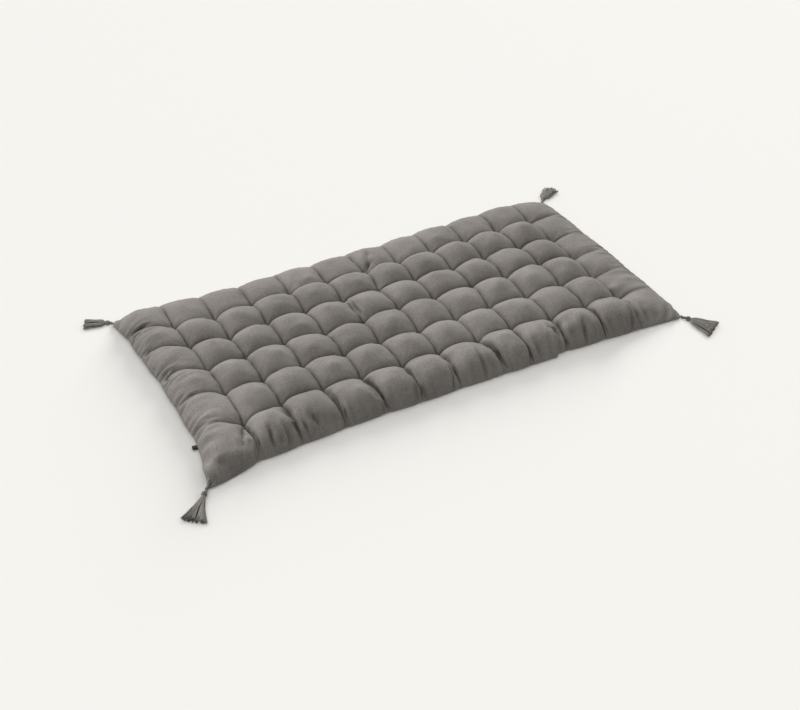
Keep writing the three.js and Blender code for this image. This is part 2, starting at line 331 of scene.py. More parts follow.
def across(place, puffs, lean):
    """Where places lie across a row of puffs: puff and share of it, puffs in from the seam, how far up the
    turned edge, and how near to a crease."""
    puff = np.clip(np.floor(place + SAME_PLACE), 0, puffs - 1).astype(int)
    share = place - puff
    inside = np.minimum(place, puffs - place)
    up_edge = np.clip(2 * inside, 0, 1)
    leant = share + lean * share * (1 - share) * ((puff > 0) & (puff < puffs - 1))
    crease = np.where(up_edge < 1, 0, np.abs(2 * leant - 1))
    on_line = np.abs(place - np.round(place)) < SAME_PLACE
    return SimpleNamespace(
        puff=puff, share=share, inside=inside, up_edge=up_edge, crease=crease, on_line=on_line,
    )


def sewn_points():
    """Plan position of every tie, and of every place where a crease meets the seam."""
    points = np.zeros((PUFFS_LONG + 1, PUFFS_WIDE + 1, 2))
    for i in range(PUFFS_LONG + 1):
        for j in range(PUFFS_WIDE + 1):
            x = (i - PUFFS_LONG / 2) * PITCH_LONG
            y = (j - PUFFS_WIDE / 2) * PITCH_WIDE
            end = "left" if i == 0 else "right" if i == PUFFS_LONG else None
            side = "front" if j == 0 else "back" if j == PUFFS_WIDE else None
            if end and side:
                x, y = CORNER_TIP[side + "_" + end]
            elif end:
                x = SEAM_LINE[end] + SEAM_STANDS_OUT[end][j - 1] * (-1 if end == "left" else 1)
                y += CREASE_VEERS[end][j - 1] if end == "left" else 0
            elif side:
                y = SEAM_LINE[side] + SEAM_STANDS_OUT[side][i - 1] * (-1 if side == "front" else 1)
                x += CREASE_VEERS[side][i - 1] if side == "front" else 0
            else:
                wander = (TIE_WANDER * uneven(i, j, 0), TIE_WANDER * uneven(i, j, 1))
                dx, dy = TIES_ASTRAY.get((i, j), wander)
                x, y = x + dx, y + dy
            points[i, j] = (x, y)
    return points


sewn = sewn_points()
side_folds = [start[0] for start, *_ in FOLDS if abs(start[1]) > FOLDS_AT_SIDES]
end_folds = [start[1] for start, *_ in FOLDS if abs(start[0]) > FOLDS_AT_ENDS]
place_long, place_wide = np.meshgrid(
    pattern_places(PUFFS_LONG, PITCH_LONG, side_folds),
    pattern_places(PUFFS_WIDE, PITCH_WIDE, end_folds),
    indexing="ij",
)
long_way = across(place_long, PUFFS_LONG, PUFF_LEAN)
wide_way = across(place_wide, PUFFS_WIDE, 0.0)
inside_seam = np.minimum(long_way.inside, wide_way.inside)
from_tie = np.hypot((1 - long_way.crease) * PITCH_LONG / 2, (1 - wide_way.crease) * PITCH_WIDE / 2)
on_seam = inside_seam < SAME_PLACE
on_end = long_way.inside < SAME_PLACE
on_side = wide_way.inside < SAME_PLACE
at_tie = long_way.on_line & wide_way.on_line & ~on_seam
at_corner = on_end & on_side
from_seam = {
    "front": place_wide, "back": PUFFS_WIDE - place_wide,
    "left": place_long, "right": PUFFS_LONG - place_long,
}
row = np.clip(np.rint(place_wide), 1, PUFFS_WIDE - 1).astype(int) - 1
column = np.clip(np.rint(place_long), 1, PUFFS_LONG - 1).astype(int) - 1
at_end = np.where(place_long < PUFFS_LONG / 2, END_CREASES["left"][row], END_CREASES["right"][row])
at_side = np.where(place_wide < PUFFS_WIDE / 2, SIDE_CREASES["front"][column], SIDE_CREASES["back"][column])
in_from_end = np.clip((long_way.inside - CREASE_FADES_AT) / (1 - CREASE_FADES_AT), 0, 1)
in_from_side = np.clip((wide_way.inside - CREASE_FADES_AT) / (1 - CREASE_FADES_AT), 0, 1)
to_ends = at_end + (1 - at_end) * in_from_end
to_sides = at_side + (1 - at_side) * in_from_side
crease_long = long_way.on_line & ~on_seam & (to_sides > SHARP_CREASE)
crease_wide = wide_way.on_line & ~on_seam & (to_ends > SHARP_CREASE)


def mixed(low, high, share):
    """Points at a share of the way from one row of points to another."""
    return low + (high - low) * share[..., None]


puff_i = long_way.puff
puff_j = wide_way.puff
front_line = mixed(sewn[puff_i, puff_j], sewn[puff_i + 1, puff_j], long_way.share)
back_line = mixed(sewn[puff_i, puff_j + 1], sewn[puff_i + 1, puff_j + 1], long_way.share)
left_line = mixed(sewn[puff_i, puff_j], sewn[puff_i, puff_j + 1], wide_way.share)
right_line = mixed(sewn[puff_i + 1, puff_j], sewn[puff_i + 1, puff_j + 1], wide_way.share)
plan = mixed(front_line, back_line, wide_way.share)
for side, distance in from_seam.items():
    way, axis = (long_way, 1) if side in ("front", "back") else (wide_way, 0)
    bulge = SEAM_SCALLOPS[side][way.puff] * np.sin(math.pi * way.share)
    bulge = bulge * np.exp(-(distance / SCALLOP_REACH) ** 2)
    plan[..., axis] += bulge * (-1 if side in ("front", "left") else 1)
past_step = plan[..., 0] - SEAM_STEP_AT
seam_step = np.tanh(past_step / SEAM_STEP_WIDTH) * np.exp(-np.abs(past_step) / SEAM_STEP_FADES)
seam_step = seam_step * np.exp(-SEAM_STEP_RISES * place_wide)
plan[..., 1] += SEAM_STEP * seam_step


def lumps():
    """Gentle unevenness of loose filling: many low waves of random heading and length."""
    chance = np.random.default_rng(11)
    total = np.zeros(place_long.shape)
    for _ in range(LUMP_WAVES):
        heading, phase = chance.random(2) * 2 * math.pi
        length = SHORTEST_LUMP + LUMP_RANGE * chance.random()
        run = plan[..., 0] * math.cos(heading) + plan[..., 1] * math.sin(heading)
        total += np.sin(2 * math.pi * run / length + phase)
    return total / math.sqrt(LUMP_WAVES / 2)


def tie_puckers():
    """Small gathers that radiate from each tie."""
    tie_i = np.rint(place_long)
    tie_j = np.rint(place_wide)
    angle = np.arctan2((place_wide - tie_j) * PITCH_WIDE, (place_long - tie_i) * PITCH_LONG)
    first = np.sin(7 * angle + 9.0 * uneven(tie_i, tie_j, 3))
    second = np.sin(11 * angle + 9.0 * uneven(tie_i, tie_j, 4))
    return (first + 0.7 * second) * np.exp(-0.5 * ((from_tie - PUCKER_FROM_TIE) / PUCKER_REACH) ** 2)


def arched(crease):
    """Height of a round arch that comes down to the crease at a slant, as a share of its crown."""
    steep = math.cos(CREASE_SLANT)
    return (np.sqrt(1 - (math.sin(CREASE_SLANT) * crease) ** 2) - steep) / (1 - steep)


def top_form():
    """The top panel as it stands when filled, before its spare cloth finds its place."""
    lower = np.zeros(place_long.shape)
    for side, distance in from_seam.items():
        deep = np.clip(distance - 0.5, 0, 1)
        lower = np.maximum(lower, (CROWN - EDGE_CROWN[side]) * (1 - deep * deep * (3 - 2 * deep)))
    crown = (CROWN - lower) * (1 + PUFFS_VARY * uneven(long_way.puff, wide_way.puff, 2))

    drop_long = long_way.crease ** PUFF_ROUNDNESS * to_sides
    drop_wide = wide_way.crease ** PUFF_ROUNDNESS * to_ends
    domed = arched(long_way.crease * to_sides) * arched(wide_way.crease * to_ends)
    drawn = (CREASE_TOP + CREASE_RISE * (1 - 0.5 * (drop_long + drop_wide))) * crown / CROWN
    puffed = drawn + (crown - (CREASE_TOP + CREASE_RISE) * crown / CROWN) * domed
    puffed = puffed - PIT_DEPTH * np.exp(-0.5 * (from_tie / PIT_REACH) ** 2)
    puffed = puffed + LUMP_HEIGHT * lumps() + PUCKER_HEIGHT * tie_puckers()
    turn_long = np.where(place_long < PUFFS_LONG / 2, EDGE_TURN["left"], EDGE_TURN["right"])
    turn_wide = np.where(place_wide < PUFFS_WIDE / 2, EDGE_TURN["front"], EDGE_TURN["back"])
    by_end = np.clip(1 - long_way.inside, 0, 1)
    by_side = np.clip(1 - wide_way.inside, 0, 1)
    which_corner = (np.where(place_wide < PUFFS_WIDE / 2, 0, 1), np.where(place_long < PUFFS_LONG / 2, 0, 1))
    plump = np.array(CORNER_PLUMP)[which_corner]
    up_long = np.clip(2 * long_way.inside * (1 + plump * by_side), 0, 1)
    rise_long = np.maximum(1 - (1 - up_long) ** turn_long, 1e-3)
    rise_wide = 1 - (1 - wide_way.up_edge) ** turn_wide
    sloped = 0.5 * (1 - (1 - np.clip(5 * wide_way.inside, 0, 1)) ** 2 + np.clip(wide_way.inside, 0, 1))
    rise_wide = np.maximum(rise_wide + np.clip(plump, 0, 1) * by_end * (sloped - rise_wide), 1e-3)
    risen = (rise_long ** -CORNER_RIDGE + rise_wide ** -CORNER_RIDGE - 1) ** (-1 / CORNER_RIDGE)
    risen[on_seam] = 0
    taper = np.array(CORNER_TAPER)[which_corner]
    from_tip = np.clip((long_way.inside + wide_way.inside) / taper, 0, 1)
    risen = risen * from_tip * from_tip * (3 - 2 * from_tip)
    return np.concatenate([plan, (SEAM_HEIGHT + (puffed - SEAM_HEIGHT) * risen)[..., None]], axis=-1)


def under_form(seam):
    """The bottom panel: flat on the floor in each puff, lifted at creases and ties, rolled up to the seam."""
    lift_long = np.clip(3 * long_way.crease - 2, 0, 1)
    lift_wide = np.clip(3 * wide_way.crease - 2, 0, 1)
    lifted = 0.65 * lift_long * lift_wide + 0.35 * np.maximum(lift_long, lift_wide)

    def rolled(one):
        return np.sqrt(1 - (1 - np.minimum(1, one.up_edge / UNDER_ROLL)) ** 2)

    height = SEAM_HEIGHT + (TIE_UNDER * lifted - SEAM_HEIGHT) * rolled(long_way) * rolled(wide_way)
    form = np.concatenate([plan, height[..., None]], axis=-1)
    form[on_seam] = seam[on_seam]
    return form


def outward(form):
    """Which way the cloth faces, away from the filling, at every place of a top panel."""
    normal = np.cross(np.gradient(form, axis=0), np.gradient(form, axis=1))
    return normal / (np.linalg.norm(normal, axis=-1, keepdims=True) + 1e-9)


def gathers():
    """Fine gathers across the seam, where the stitching takes in more cloth than it lets out."""
    chance = np.random.default_rng(7)
    total = np.zeros(place_long.shape)
    for side, distance in from_seam.items():
        run = plan[..., 0] if side in ("front", "back") else plan[..., 1]
        wave = np.zeros(place_long.shape)
        for _ in range(GATHER_WAVES):
            length = SHORTEST_GATHER + GATHER_RANGE * chance.random()
            wave += np.sin(2 * math.pi * run / length + 2 * math.pi * chance.random())
        fades = np.exp(-(distance / GATHER_REACH) ** 2) * np.clip(6 * distance, 0.2, 1)
        total += GATHER_HEIGHT[side] * wave / math.sqrt(GATHER_WAVES / 2) * fades
    return total


def press_folds(form, narrow):
    """How deep the folds go into a panel, each a long dent with the cloth standing up a little beside it, and
    how deep the creases cut into the front edge."""
    depth = np.zeros(form.shape[:2])
    for start, end, deep, width in FOLDS:
        run = np.subtract(end, start)
        length = np.hypot(*run)
        from_start = plan - np.array(start)
        share = np.clip(((from_start @ run) / length ** 2 + FOLD_RUNS_OUT) / (1 + 2 * FOLD_RUNS_OUT), 0, 1)
        aside = np.abs(from_start[..., 0] * run[1] - from_start[..., 1] * run[0]) / (length * narrow * width)
        dent = np.exp(-aside ** 2) - 0.4 * np.exp(-(aside - 2.2) ** 2)
        depth += deep * np.sin(math.pi * share ** 0.6) ** 0.7 * dent
    beside = (1 - long_way.crease) * PITCH_LONG / 2 / (narrow * CREASE_CUT_WIDTH)
    depth += CREASE_CUT * to_sides * np.exp(-beside ** 2) * np.sqrt(np.clip(1 - place_wide, 0, 1))
    return np.minimum(depth, 0.6 * (form[..., 2] - SEAM_HEIGHT)) * np.clip(5 * inside_seam, 0.3, 1)


def slack_of_cloth():
    """Share of spare cloth along the length and across the width."""
    def beside(distance):
        return np.clip(1 - distance / SEAM_SLACK_REACH, 0, 1) ** 1.2

    from_corner = np.clip(np.maximum(long_way.inside, wide_way.inside) - 0.2, 0.05, 1)
    spare = {side: SEAM_SLACK[side] * beside(distance) * from_corner for side, distance in from_seam.items()}
    flat_end = np.clip(from_seam["right"], 0, 1)
    along = (INNER_SLACK + BORDER_SLACK * (long_way.inside < 1)) * flat_end + spare["front"] + spare["back"]
    over = (INNER_SLACK + BORDER_SLACK * (wide_way.inside < 1)) * flat_end + spare["left"] + spare["right"]
    return along, over


def yarn_lengths(form, along, over):
    """Pairs of neighbouring places in the net with the length of cloth between them, how firmly it holds,
    and whether it only resists folding. In one set no place is in two pairs."""
    def spans(first, second, slack):
        spare = 0.5 * (slack[first] + slack[second])
        return np.linalg.norm(form[second] - form[first], axis=-1) * (1 + spare)

    slant = 0.5 * (along + over)
    warp = spans(np.s_[:-1], np.s_[1:], along)
    weft = spans(np.s_[:, :-1], np.s_[:, 1:], over)
    fall = spans(np.s_[:-1, :-1], np.s_[1:, 1:], slant)
    rise = spans(np.s_[:-1, 1:], np.s_[1:, :-1], slant)
    sets = []
    for q in range(2):
        sets.append((np.s_[q:-1:2], np.s_[q + 1::2], warp[q::2], 1.0, False))
        sets.append((np.s_[:, q:-1:2], np.s_[:, q + 1::2], weft[:, q::2], 1.0, False))
    for q in range(2):
        sets.append((np.s_[q:-1:2, :-1], np.s_[q + 1::2, 1:], fall[q::2], CLOTH_SKEW, False))
        sets.append((np.s_[q:-1:2, 1:], np.s_[q + 1::2, :-1], rise[q::2], CLOTH_SKEW, False))
    stiff_warp = CLOTH_BEND * ~crease_long[1:-1]
    stiff_weft = CLOTH_BEND * ~crease_wide[:, 1:-1]
    for q in range(4):
        sets.append((np.s_[q:-2:4], np.s_[q + 2::4], (warp[:-1] + warp[1:])[q::4], stiff_warp[q::4], True))
        sets.append((np.s_[:, q:-2:4], np.s_[:, q + 2::4], (weft[:, :-1] + weft[:, 1:])[:, q::4],
                     stiff_weft[:, q::4], True))
    return sets


def let_settle(form, sets, way, seam_gives, floor_height, fold_depth):
    """Lets a panel settle as cloth: the filling pushes it out, its yarns keep their length, neighbouring
    puffs press on each other at the creases, and the ties, creases and seam hold it."""
    free = np.ones(form.shape[:2])
    free[on_seam] = SEAM_GIVE if seam_gives else 0.0
    free[at_tie | at_corner] = 0.0
    far = 1e6
    pressed_x = (to_sides > SHARP_CREASE) & ~long_way.on_line
    pressed_y = (to_ends > SHARP_CREASE) & ~wide_way.on_line
    low_x = np.where(pressed_x & (long_way.puff > 0), left_line[..., 0] + CREASE_GAP, -far)
    high_x = np.where(pressed_x & (long_way.puff < PUFFS_LONG - 1), right_line[..., 0] - CREASE_GAP, far)
    low_y = np.where(pressed_y & (wide_way.puff > 0), front_line[..., 1] + CREASE_GAP, -far)
    high_y = np.where(pressed_y & (wide_way.puff < PUFFS_WIDE - 1), back_line[..., 1] - CREASE_GAP, far)
    low_x, high_x = (np.where(crease_long, form[..., 0], limit) for limit in (low_x, high_x))
    low_y, high_y = (np.where(crease_wide, form[..., 1], limit) for limit in (low_y, high_y))
    held = CREASE_HOLD * np.clip(2 * inside_seam - 0.6, 0.1, 1) * ((crease_long | crease_wide) & ~at_tie)
    held = np.maximum(held, FOLD_HOLD * np.clip((fold_depth - FOLDS_HELD_FROM) / FOLDS_HELD_RANGE, 0, 1))
    ripple = np.random.default_rng(3).normal(size=free.shape)
    for _ in range(2):
        ripple[1:-1, 1:-1] = (ripple[1:-1, 1:-1] + ripple[2:, 1:-1] + ripple[:-2, 1:-1]
                              + ripple[1:-1, 2:] + ripple[1:-1, :-2]) / 5
    cloth = form.copy()
    cloth[..., 2] += FIRST_RIPPLE * ripple / ripple.std() * (free == 1)
    before = cloth.copy()
    for _ in range(SETTLING_STEPS):
        swing = SWING_KEPT * (cloth - before) + way * FILLING_PUSH * outward(cloth)
        before = cloth
        cloth = cloth + free[..., None] * swing
        for _ in range(PASSES_A_STEP):
            for first, second, length, firm, only_fold in sets:
                span = cloth[second] - cloth[first]
                reach = np.sqrt(np.einsum("...i,...i", span, span)) + 1e-9
                excess = np.minimum(reach - length, 0) if only_fold else reach - length
                shared = np.maximum(free[first] + free[second], 1e-9)
                span *= (firm * excess / (reach * shared))[..., None]
                cloth[first] += free[first][..., None] * span
                cloth[second] -= free[second][..., None] * span
            cloth[..., 0] = np.clip(cloth[..., 0], low_x, high_x)
            cloth[..., 1] = np.clip(cloth[..., 1], low_y, high_y)
            cloth += held[..., None] * HELD_WAYS * (form - cloth)
            cloth[on_seam] += SEAM_GIVE * (form[on_seam] - cloth[on_seam])
            cloth[..., 2] = np.maximum(cloth[..., 2], floor_height)
    return cloth


slack_long, slack_wide = slack_of_cloth()
top_start = top_form()
fold_depth = press_folds(top_start, 1.0)
top_start += (gathers() - fold_depth)[..., None] * outward(top_start)
top_sets = yarn_lengths(top_start, slack_long, slack_wide)
top_cloth = let_settle(top_start, top_sets, 1, True, TOP_CLEARS_FLOOR, fold_depth)
fold_core = press_folds(top_cloth, CORE_NARROWNESS)
creasing = GATHERS_PRESSED * gathers() + PUCKER_HEIGHT * tie_puckers() - CORES_PRESSED * fold_core
top_cloth += creasing[..., None] * outward(top_cloth) * ~on_seam[..., None]
inward = np.stack([
    np.sign(PUFFS_LONG / 2 - place_long) * on_end,
    np.sign(PUFFS_WIDE / 2 - place_wide) * on_side,
], axis=-1)
top_cloth[..., :2] += SEAM_DRAWN_IN * inward * ~at_corner[..., None]
under_start = under_form(top_cloth)
under_sets = yarn_lengths(under_start, UNDER_SLACK * slack_long, UNDER_SLACK * slack_wide)
under_cloth = let_settle(under_start, under_sets, -1, False, 0.0, np.zeros(place_long.shape))


def panel_net(name, cloth, pattern_shift):
    """One panel as a mesh: a grid laid out on the cloth, with the flat cut piece of cloth as its UV map."""
    columns = cloth.shape[0] - 1
    rows = cloth.shape[1] - 1
    net = bmesh.new()
    net.loops.layers.uv.new("flat_pattern")
    bmesh.ops.create_grid(net, x_segments=columns, y_segments=rows, size=0.5, calc_uvs=True)
    mesh = bpy.data.meshes.new(name)
    net.to_mesh(mesh)
    net.free()
    spot = np.empty(3 * len(mesh.vertices))
    mesh.vertices.foreach_get("co", spot)
    spot = spot.reshape(-1, 3)
    i = np.rint((spot[:, 0] + 0.5) * columns).astype(int)
    j = np.rint((spot[:, 1] + 0.5) * rows).astype(int)
    laid = (cloth[i, j] + np.array([*MIDDLE_TIE, 0.0])) * MM
    mesh.vertices.foreach_set("co", laid.astype(np.float32).ravel())
    pattern = np.empty(2 * len(mesh.loops), np.float32)
    mesh.uv_layers["flat_pattern"].data.foreach_get("uv", pattern)
    pattern = pattern.reshape(-1, 2) * (FLAT_LENGTH / 2, FLAT_WIDTH / 2) + (0.0, pattern_shift)
    mesh.uv_layers["flat_pattern"].data.foreach_set("uv", pattern.astype(np.float32).ravel())
    # Painted shade: how dark each point of the cloth is painted in the creases, at the ties and in the folds.
    painted_shade = mesh.attributes.new("painted_crease_shade", "FLOAT", "POINT")
    painted_shade.data.foreach_set("value", crease_shade[i, j].astype(np.float32))
    return mesh


# Painted shade along the creases, round each tie and in the folds, where the hollows of the cloth lie in
# shade.
column_line = long_way.crease * np.clip(3.5 * wide_way.inside, 0.4, 1) * (0.975 + 0.025 * wide_way.crease)
row_line = wide_way.crease * np.clip(3.5 * long_way.inside, 0.4, 1)
crease_shade = np.maximum.reduce([
    column_line ** COLUMN_SHADE_FALL * to_sides,
    row_line ** ROW_SHADE_FALL * to_ends,
    np.exp(-0.5 * (from_tie / TIE_SHADE) ** 2),
    np.clip(FOLD_SHADE * fold_core, 0, DARKEST_FOLD_SHADE),
])

cover_net = bmesh.new()
cover_net.from_mesh(panel_net("under_panel", under_cloth, 0.5))
bmesh.ops.reverse_faces(cover_net, faces=cover_net.faces[:])
cover_net.from_mesh(panel_net("top_panel", top_cloth, 0.0))
seam_verts = [vert for vert in cover_net.verts if vert.is_boundary]
bmesh.ops.remove_doubles(cover_net, verts=seam_verts, dist=SAME_PLACE)
# A corner's tip has two edges only. Its faces are split from the tip inwards, so that no two coincide there.
for tip in [vert for vert in cover_net.verts if len(vert.link_edges) == 2]:
    beside_tip = [edge.other_vert(tip) for edge in tip.link_edges]
    for face in tip.link_faces[:]:
        inner = next(vert for vert in face.verts if vert != tip and vert not in beside_tip)
        bmesh.utils.face_split(face, tip, inner)
cover_mesh = bpy.data.meshes.new("cover")
cover_net.to_mesh(cover_mesh)
cover_net.free()

COTTON_DARK = (0.191, 0.175, 0.161, 1.0)
COTTON_PALE = (0.343, 0.317, 0.292, 1.0)
# The colour of the painted shade in the creases, at the ties and in the folds. It is also the darkest tone of
# the tie thread.
CREASE_SHADE_AND_DARK_THREAD = (0.038, 0.034, 0.031, 1.0)
YARNS_A_METRE = 1100.0

cotton, cotton_shader = new_finish("washed_cotton", 0.92)
cotton_shader.inputs["Specular IOR Level"].default_value = 0.15
cotton_shader.inputs["Sheen Weight"].default_value = 0.25
cotton_shader.inputs["Sheen Roughness"].default_value = 0.6
cotton_shader.inputs["Sheen Tint"].default_value = (0.75, 0.72, 0.68, 1.0)
pattern_uv = add_node(cotton, "ShaderNodeUVMap", {"uv_map": "flat_pattern"}).outputs["UV"]
yarns = add_node(cotton, "ShaderNodeMapping", inputs={
    "Vector": pattern_uv, "Scale": (2 * YARNS_A_METRE, 2 * YARNS_A_METRE, 1.0)}).outputs["Vector"]
yarn_count = add_node(cotton, "ShaderNodeSeparateXYZ", inputs={"Vector": yarns})


def yarn_round(along):
    """Round backs of parallel yarns, counted along one way."""
    turned = add_node(cotton, "ShaderNodeMath", {"operation": "MULTIPLY"}, {0: along, 1: math.pi})
    wave = add_node(cotton, "ShaderNodeMath", {"operation": "SINE"}, {0: turned.outputs[0]})
    return add_node(cotton, "ShaderNodeMath", {"operation": "ABSOLUTE"}, {0: wave.outputs[0]}).outputs[0]


over_under = add_node(cotton, "ShaderNodeTexChecker", inputs={"Vector": yarns, "Scale": 1.0}).outputs["Fac"]
weave = add_node(cotton, "ShaderNodeMix", inputs={
    0: over_under, 2: yarn_round(yarn_count.outputs["X"]), 3: yarn_round(yarn_count.outputs["Y"])}).outputs[0]


def slubs(long_scale, wide_scale):
    """Uneven thickness of the yarns, drawn out along them."""
    stretched = add_node(cotton, "ShaderNodeMapping", inputs={
        "Vector": pattern_uv, "Scale": (long_scale, wide_scale, 1.0)}).outputs["Vector"]
    return add_node(cotton, "ShaderNodeTexNoise", inputs={
        "Vector": stretched, "Scale": 1.0, "Detail": 2.0, "Roughness": 0.6}).outputs["Fac"]


warp_slubs = slubs(60.0, 900.0)
weft_slubs = slubs(900.0, 60.0)
slub = add_node(cotton, "ShaderNodeMath", {"operation": "ADD"}, {0: warp_slubs, 1: weft_slubs}).outputs[0]
in_place = add_node(cotton, "ShaderNodeTexCoord").outputs["Object"]
fading = add_node(cotton, "ShaderNodeTexNoise", inputs={
    "Vector": in_place, "Scale": 9.0, "Detail": 5.0, "Roughness": 0.62}).outputs["Fac"]
grain = add_node(cotton, "ShaderNodeTexNoise", inputs={
    "Vector": in_place, "Scale": 260.0, "Detail": 3.0, "Roughness": 0.7}).outputs["Fac"]
tone = add_node(cotton, "ShaderNodeMath", {"operation": "MULTIPLY_ADD"}, {
    0: slub, 1: 0.3, 2: fading}).outputs[0]
tone = add_node(cotton, "ShaderNodeMath", {"operation": "ADD"}, {0: tone, 1: grain}).outputs[0]
tone = add_node(cotton, "ShaderNodeMapRange", inputs={
    "Value": tone, "From Min": 0.95, "From Max": 1.65, "To Min": 0.0, "To Max": 1.0}).outputs["Result"]
dyed = add_node(cotton, "ShaderNodeMix", {"data_type": "RGBA"}, {
    0: tone, 6: COTTON_DARK, 7: COTTON_PALE}).outputs[2]
# Painted shade: the cloth's colour is darkened towards the crease shade colour in the creases, at the ties
# and in the folds.
painted_shade = add_node(cotton, "ShaderNodeAttribute", {"attribute_name": "painted_crease_shade"}).outputs["Fac"]
painted_shade = add_node(cotton, "ShaderNodeMath", {"operation": "MULTIPLY"}, {0: painted_shade, 1: 0.95}).outputs[0]
dyed = add_node(cotton, "ShaderNodeMix", {"data_type": "RGBA"}, {
    0: painted_shade, 6: dyed, 7: CREASE_SHADE_AND_DARK_THREAD}).outputs[2]
cotton.node_tree.links.new(dyed, cotton_shader.inputs["Base Color"])
crumple = add_node(cotton, "ShaderNodeTexNoise", inputs={
    "Vector": in_place, "Scale": 55.0, "Detail": 4.0, "Roughness": 0.55}).outputs["Fac"]
creased = add_node(cotton, "ShaderNodeBump", inputs={"Strength": 0.5, "Distance": 0.0025, "Height": crumple})
woven = add_node(cotton, "ShaderNodeBump", inputs={
    "Strength": 0.4, "Distance": 0.0002, "Height": weave, "Normal": creased.outputs["Normal"]})
cotton.node_tree.links.new(woven.outputs["Normal"], cotton_shader.inputs["Normal"])

cover = new_piece("cover", cover_mesh, cotton)
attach(cover, "root")
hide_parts("cushion")
shading = bpy.data.collections.new("shading_on_floor")
shading.objects.link(cover)
bpy.data.objects["floor_lamp"].light_linking.blocker_collection = shading


# Ties
# A few turns of strong cotton thread in the colour of the cover, drawn through the filling from one panel
# to the other. Deep in each hollow a short flat stitch shows, on both faces.
TIE_THREAD = 0.75
TIE_REACH = 5.0
TIE_TURNS = 3
TIE_LIFT = 1.6


def strand_mesh(name, strands, rounding):
    """Threads as one mesh: each strand is a row of points and a row of radii, all in metres."""
    curve = bpy.data.curves.new(name, "CURVE")
    curve.dimensions = "3D"
    curve.bevel_depth = MM
    curve.bevel_resolution = rounding
    curve.use_fill_caps = True
    for points, radii in strands:
        spline = curve.splines.new("POLY")
        spline.points.add(len(points) - 1)
        spline.points.foreach_set("co", np.column_stack([points, np.ones(len(points))]).ravel())
        spline.points.foreach_set("radius", np.asarray(radii, float) / MM)
    holder = bpy.data.objects.new(name, curve)
    bpy.context.scene.collection.objects.link(holder)
    mesh = bpy.data.meshes.new_from_object(holder.evaluated_get(bpy.context.evaluated_depsgraph_get()))
    bpy.data.objects.remove(holder)
    bpy.data.curves.remove(curve)
    return mesh


def tie_stitches():
    """The turns of thread at every tie, on both faces, each bent down into the cloth at its ends."""
    strands = []
    share = np.linspace(-1, 1, 7)
    for cloth, way in ((top_cloth, 1), (under_cloth, -1)):
        for number, spot in enumerate(cloth[at_tie]):
            lean = 0.5 * math.sin(2.4 * number)
            for turn in range(TIE_TURNS):
                aside = (turn - 1) * 1.5 * TIE_THREAD
                x = share * TIE_REACH
                y = aside + 0.6 * np.sin(2.0 * share + number + turn)
                z = way * (TIE_LIFT + 0.6 * (1 - share ** 2) - 1.4 * share ** 4)
                points = np.column_stack([
                    spot[0] + x * math.cos(lean) - y * math.sin(lean) + MIDDLE_TIE[0],
                    spot[1] + x * math.sin(lean) + y * math.cos(lean) + MIDDLE_TIE[1],
                    np.maximum(spot[2] + z, TIE_THREAD),
                ])
                strands.append((points * MM, np.full(len(points), TIE_THREAD * MM)))
    return strands


tie_cotton, tie_shader = new_finish("tie_thread", 0.85)
tie_shader.inputs["Sheen Weight"].default_value = 0.2
tie_place = add_node(tie_cotton, "ShaderNodeTexCoord").outputs["Object"]
tie_ply = add_node(tie_cotton, "ShaderNodeTexNoise", inputs={
    "Vector": tie_place, "Scale": 900.0, "Detail": 2.0}).outputs["Fac"]
# The tie thread's own tone varies at random between that dark colour and the cover's dark tone.
tie_tone = add_node(tie_cotton, "ShaderNodeMix", {"data_type": "RGBA"}, {
    0: tie_ply, 6: CREASE_SHADE_AND_DARK_THREAD, 7: COTTON_DARK}).outputs[2]
tie_cotton.node_tree.links.new(tie_tone, tie_shader.inputs["Base Color"])
tie_twist = add_node(tie_cotton, "ShaderNodeBump", inputs={
    "Strength": 0.5, "Distance": 0.0003, "Height": tie_ply})
tie_cotton.node_tree.links.new(tie_twist.outputs["Normal"], tie_shader.inputs["Normal"])
ties = new_piece("tie_stitches", strand_mesh("tie_stitches", tie_stitches(), 1), tie_cotton)
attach(ties, "root")


# Tassels
# One at each corner: a short cord of two twisted plies sewn into the corner, a knot wound with yarn, and a
# skirt of loose cotton yarns, cut level, that lies fanned out on the floor.

# Headings are in degrees from +X towards +Y. "over" is how far the cord lies on the corner, "cord" its free
# length, and "fan" the skirt's width at its cut end. The lower "flare" is, the sooner the skirt widens.
# The last value is added to the tone of its yarns. It is painted light, which makes the back tassels' yarns
# lighter, as if they were lit like the front ones.
TASSELS = {
    "front_left": {"cord_heading": -131, "heading": -127, "over": 26, "cord": 9,
                   "skirt": 74, "fan": 70, "flare": 1.2, "painted_lightness": 0.0},
    "front_right": {"cord_heading": -58, "heading": -69, "over": 4, "cord": 9,
                    "skirt": 61, "fan": 84, "flare": 0.65, "painted_lightness": 0.0},
    "back_left": {"cord_heading": 150, "heading": 161, "over": 4, "cord": 2,
                  "skirt": 45, "fan": 46, "flare": 0.4, "painted_lightness": 0.4},
    "back_right": {"cord_heading": 45, "heading": 33, "over": 4, "cord": 6,
                   "skirt": 44, "fan": 52, "flare": 0.35, "painted_lightness": 0.3},
}
CORD_RADIUS = 3.8
CORD_TWIST = 9.0
CORD_TONE = 0.4
KNOT_LENGTH = 13.0
KNOT_RADIUS = 6.2
WINDING_PITCH = 1.7
WINDING_RADIUS = 0.7
WINDING_STANDS_OUT = 0.45
WINDING_TONE = 0.45
HEART_TONE = 0.3
ROOT_RADIUS = 4.35
SKIRT_HALF_HEIGHT = 8.0
SKIRT_YARNS = 360
SKIRT_LOCKS = 8
YARN_RADIUS = 0.62
TRIM_SPREAD = 7.0
GOLDEN_ANGLE = math.pi * (3 - math.sqrt(5))


